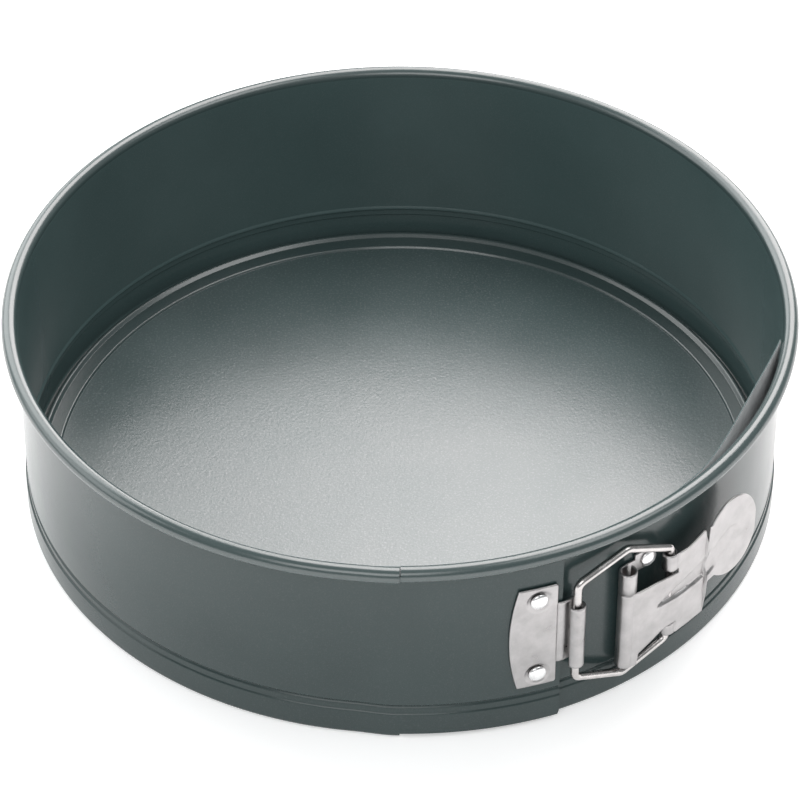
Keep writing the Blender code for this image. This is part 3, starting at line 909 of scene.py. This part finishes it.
def lever_corner(az, z):
    """Both skins of the lever's plate, neck or pad at a place."""
    radius = LEVER_MID_R + lever_relief(az, z) + pad_crown(az, z)
    return [polar(az, radius + side * LEVER_SHEET / 2, z) for side in (-1, 1)]


def lever_edges(az):
    """Lower and upper edge of the lever beside the curls, along the neck and round the pad."""
    if az <= NECK_AZ:
        return between(PLATE_LOW, az), between(PLATE_HIGH, az)
    low, high = pad_span(az)
    if az < NECK_BLEND_AZ:
        low = min(low, NECK_LOW_Z)
    if az <= NECK_END_AZ:
        high = NECK_HIGH_Z
    return low, high


def lever_left_part():
    """Corners of the lever's barrel and of its plate up to the curls, and the last column's number."""
    low_z = heights("lever")[0]
    barrel_top = BARREL_LOW_Z - BARREL_CLEARANCE
    roll = pivot_frame(PIVOT_AZ, PIVOT_R)
    barrel = [roll(at) for at in arc_points(BARREL_OUTER_R - LEVER_SHEET / 2, 390, 90, 34)]
    pairs = offset_pairs(barrel + [plan_point(LEVER_START_AZ, LEVER_MID_R)], LEVER_SHEET)[:-1]
    plate_az = [LEVER_START_AZ, LEVER_BARREL_END_AZ, 34.6] + spread(34.9, 41.0, 26) + [CURL_EDGE_AZ]
    corners = {}
    for j in (*PLATE_ROWS, UPPER_SLIT):
        share = (j - PLATE_ROWS[0]) / len(PLATE_ROWS)
        for i, pair in enumerate(pairs):
            z = low_z + (barrel_top - low_z) * share
            corners[i, j] = [Vector((at.x, at.y, z)) * MM for at in pair]
        for i, az in enumerate(plate_az, len(pairs)):
            low = between(LEVER_LOW, az) if az > LEVER_BARREL_END_AZ else low_z
            corners[i, j] = lever_corner(az, low + (between(LEVER_HIGH, az) - low) * share)
    return corners, len(pairs) + len(plate_az) - 1


def add_right_part(corners, shoulder, levels):
    """Add the lever's corners from the curls' edge to the pad's end; gives the last column's number."""
    plate_az = spread(CURL_EDGE_AZ, 46.4, 24) + [46.6, 46.75, NECK_AZ, NECK_END_AZ]
    pad_length = PAD_AZ + PAD_HALF_AZ - NECK_END_AZ
    pad_az = [NECK_END_AZ + pad_length * math.sin(math.radians(angle)) for angle in spread(0, 88, 34)][1:]
    total = levels[-1] - levels[0]
    for i, az in enumerate(plate_az + pad_az, shoulder):
        low, high = lever_edges(az)
        for j, level in enumerate(levels):
            corners[i, j] = lever_corner(az, low + (high - low) * ((level - levels[0]) / total))
    return shoulder + len(plate_az) + len(pad_az) - 1


def add_curl(corners, cells, shoulder, levels, name, rows):
    """Add one of the two small curls round the bail, which starts at the plate's left edge."""
    hook = pivot_frame(HOOK_AZ, HOOK_R)
    curl = [hook(at) for at in arc_points(LEVER_MID_R - HOOK_R, 90, 375, 24)]
    lead = [plan_point(CURL_EDGE_AZ, LEVER_MID_R), plan_point(CURL_LEAD_AZ, LEVER_MID_R)]
    pairs = offset_pairs(lead + curl, LEVER_SHEET)[1:]
    for k, pair in enumerate(pairs):
        for j in (*rows, rows[-1] + 1):
            corners[name, k, j] = [Vector((at.x, at.y, levels[j])) * MM for at in (pair[1], pair[0])]
    columns = [(shoulder,)] + [(name, k) for k in range(len(pairs))]
    for before, after in zip(columns, columns[1:]):
        for j in rows:
            cells.append([(*before, j), (*after, j), (*after, j + 1), (*before, j + 1)])


def make_lever():
    """Latch lever: barrel, plate, two small curls that hold the bail, neck and thumb pad."""
    levels = spread(*LOW_CURL_Z, CURL_ROWS) + spread(*PLATE_Z, len(PLATE_ROWS))
    levels = levels + spread(*HIGH_CURL_Z, CURL_ROWS + 2)
    corners, shoulder = lever_left_part()
    last = add_right_part(corners, shoulder, levels)

    def filled(i, j):
        return i >= shoulder or j in PLATE_ROWS

    cells = grid_cells(last, len(levels) - 1, filled)
    add_curl(corners, cells, shoulder, levels, "low", range(CURL_ROWS))
    add_curl(corners, cells, shoulder, levels, "high", range(UPPER_SLIT + 1, len(levels) - 1))
    lever = sheet_object("lever_plate", corners, cells)
    shown(lever, ZINC, "plated_steel", "lever_arm", "lever")


def make_bail():
    """Wire loop from the knuckle to the lever; its two ends meet inside the knuckle."""
    low, high = heights("bail")
    left = plan_point(KNUCKLE_AZ, KNUCKLE_R)
    right = plan_point(HOOK_AZ, HOOK_R)
    along = right - left
    length = along.length
    apex = length * BAIL_APEX
    middle_z = JOINT_AT["bail_swing"][2] / MM
    route = filleted([
        (0, middle_z - BAIL_END_GAP, 0),
        (0, BAIL_LEFT_Z[0], BAIL_BEND_R),
        (apex, low + WIRE_R, BAIL_BEND_R),
        (length, BAIL_RIGHT_Z[0], BAIL_BEND_R),
        (length, BAIL_RIGHT_Z[1], BAIL_TIGHT_BEND_R),
        (apex, high - WIRE_R, BAIL_BEND_R),
        (0, BAIL_LEFT_Z[1], BAIL_BEND_R),
        (0, middle_z + BAIL_END_GAP, 0),
    ], steps=8)
    curve = bpy.data.curves.new("bail_wire", "CURVE")
    curve.dimensions = "3D"
    curve.bevel_depth = WIRE_SHOWN_R * MM
    curve.bevel_resolution = 6
    curve.use_fill_caps = True
    spline = curve.splines.new("POLY")
    spline.points.add(len(route) - 1)
    for target, at in zip(spline.points, route):
        plan = left + along * (at.x / length)
        target.co = (plan.x * MM, plan.y * MM, at.y * MM, 1)
    wire = bpy.data.objects.new("bail_wire", curve)
    bpy.context.scene.collection.objects.link(wire)
    shown(wire, WIRE_ZINC, "plated_steel", "bail_loop", "bail")


def rivet_profile(length):
    """Section of a rivet about its axis: domed head, shank of a length and flat upset tail."""
    dome = []
    for turn in (math.radians(angle) for angle in spread(8, 90, 10)):
        height = RIVET_HEAD_EDGE + (RIVET_HEAD_H - RIVET_HEAD_EDGE) * math.cos(turn)
        dome.append((RIVET_HEAD_R * math.sin(turn), height))
    return [(0, RIVET_HEAD_H)] + dome + [
        (RIVET_HEAD_R - RIVET_CHAMFER, 0.0),
        (RIVET_SHANK_R, 0.0),
        (RIVET_SHANK_R, -length),
        (RIVET_TAIL_R - RIVET_CHAMFER, -length),
        (RIVET_TAIL_R, -length - 0.2),
        (RIVET_TAIL_R - RIVET_CHAMFER, -length - 0.5),
        (1.2, -length - RIVET_TAIL_H),
        (0, -length - RIVET_TAIL_H),
    ]


def make_rivets():
    """Heads outside and tails inside; the left pair holds the lap, the right pair the wall and the flap."""
    left_seat = WALL_OUTER_R + lap_offset(LEFT_RIVET_AZ) + GAP + LEFT_SHEET - LEFT_SEAT_DEPTH
    left_tail = WALL_INNER_R + lap_offset(LEFT_RIVET_AZ)
    right_seat = WALL_OUTER_R + GAP + RIGHT_SHEET + RIGHT_SEAT_HEIGHT
    right_tail = WALL_INNER_R - GAP - FLAP_SHEET
    rivets = {
        "left_rivet_lower": ("wall_left", left_seat, left_tail),
        "left_rivet_upper": ("wall_left", left_seat, left_tail),
        "right_rivet_lower": ("wall_right", right_seat, right_tail),
        "right_rivet_upper": ("wall_right", right_seat, right_tail),
    }
    for node, (body, seat_r, tail_r) in rivets.items():
        rivet = lathe(node + "_head", rivet_profile(seat_r - tail_r), 40)
        centre = centre_of(node)
        az = azimuth_of(centre)
        angle = math.radians(az)
        tangent = Vector((math.cos(angle), math.sin(angle), 0))
        outward = Vector((math.sin(angle), -math.cos(angle), 0))
        turn = Matrix((tangent, Vector((0, 0, 1)), outward)).transposed().to_4x4()
        rivet.data.transform(Matrix.Translation(polar(az, seat_r, centre.z / MM)) @ turn)
        shown(rivet, RIVET_METAL, "rivet_metal", body, node)


def make_pin():
    """Pivot pin through both barrels, its ends' edges rounded."""
    low, high = heights("pivot_pin")
    edge = []
    for turn in (math.radians(angle) for angle in spread(0, 90, 5)):
        radius = PIN_R - PIN_EDGE_R + PIN_EDGE_R * math.sin(turn)
        edge.append((radius, PIN_EDGE_R - PIN_EDGE_R * math.cos(turn)))
    profile = [(0, low)] + [(radius, low + rise) for radius, rise in edge]
    profile = profile + [(radius, high - rise) for radius, rise in reversed(edge)] + [(0, high)]
    pin = lathe("pivot_pin_rod", profile, 40)
    pin.data.transform(Matrix.Translation(polar(PIVOT_AZ, PIVOT_R, 0)))
    shown(pin, PIN_STEEL, "plated_steel", "wall_right", "pivot_pin")


# ---------------------------------------------------------------- stage, lights and camera


def aim(obj, location, target):
    """Place a lamp or the camera and turn it to a target, both in millimetres."""
    obj.location = Vector(location) * MM
    direction = (Vector(target) - Vector(location)).normalized()
    obj.rotation_euler = direction.to_track_quat("-Z", "Y").to_euler()


def add_softbox(name, location, size, power, colour):
    """A large rectangular lamp, size in millimetres, that isn't seen itself."""
    data = bpy.data.lights.new(name, "AREA")
    data.shape = "RECTANGLE"
    data.size = size[0] * MM
    data.size_y = size[1] * MM
    data.energy = power
    data.color = colour
    lamp = bpy.data.objects.new(name, data)
    lamp.visible_camera = False
    bpy.context.scene.collection.objects.link(lamp)
    aim(lamp, location, LAMP_TARGET)


def add_table():
    """White paper under the pan; its own faint glow keeps the ground as pale as the photo's."""
    bm = bmesh.new()
    reach = TABLE_REACH * MM
    corners = ((-reach, -reach), (reach, -reach), (reach, reach), (-reach, reach))
    bm.faces.new([bm.verts.new((x, y, 0)) for x, y in corners])
    mesh = bpy.data.meshes.new("studio_floor")
    bm.to_mesh(mesh)
    bm.free()
    table = bpy.data.objects.new("studio_floor", mesh)
    bpy.context.scene.collection.objects.link(table)
    material, nodes, _ = node_material("studio_paper")
    shader = nodes["Principled BSDF"]
    shader.inputs["Base Color"].default_value = (0.9, 0.9, 0.9, 1)
    shader.inputs["Roughness"].default_value = 0.9
    shader.inputs["Emission Color"].default_value = (1, 1, 1, 1)
    shader.inputs["Emission Strength"].default_value = TABLE_GLOW
    mesh.materials.append(material)


def add_studio():
    """Table, pale surroundings and the soft lamps."""
    add_table()
    world = bpy.data.worlds.new("studio")
    world.use_nodes = True
    background = world.node_tree.nodes["Background"]
    background.inputs["Color"].default_value = (0.92, 0.95, 0.96, 1)
    background.inputs["Strength"].default_value = WORLD_STRENGTH
    bpy.context.scene.world = world
    for name, settings in SOFTBOXES.items():
        add_softbox(name, *settings)


def add_camera():
    """Camera at the photo's viewing angle, straight in front of the pan."""
    data = bpy.data.cameras.new("camera")
    data.sensor_width = CAMERA_SENSOR
    data.lens = CAMERA_LENS
    camera = bpy.data.objects.new("camera", data)
    bpy.context.scene.collection.objects.link(camera)
    elevation = math.radians(CAMERA_ELEVATION)
    back = Vector((0, -math.cos(elevation), math.sin(elevation))) * CAMERA_DISTANCE
    target = Vector((0, 0, CAMERA_TARGET_Z))
    aim(camera, target + back, target)
    bpy.context.scene.camera = camera


bpy.context.scene.view_settings.view_transform = "Standard"
add_camera()
add_studio()
make_band()
make_seal_flap()
make_base()
make_left_bracket()
make_right_bracket()
make_lever()
make_bail()
make_pin()
make_rivets()
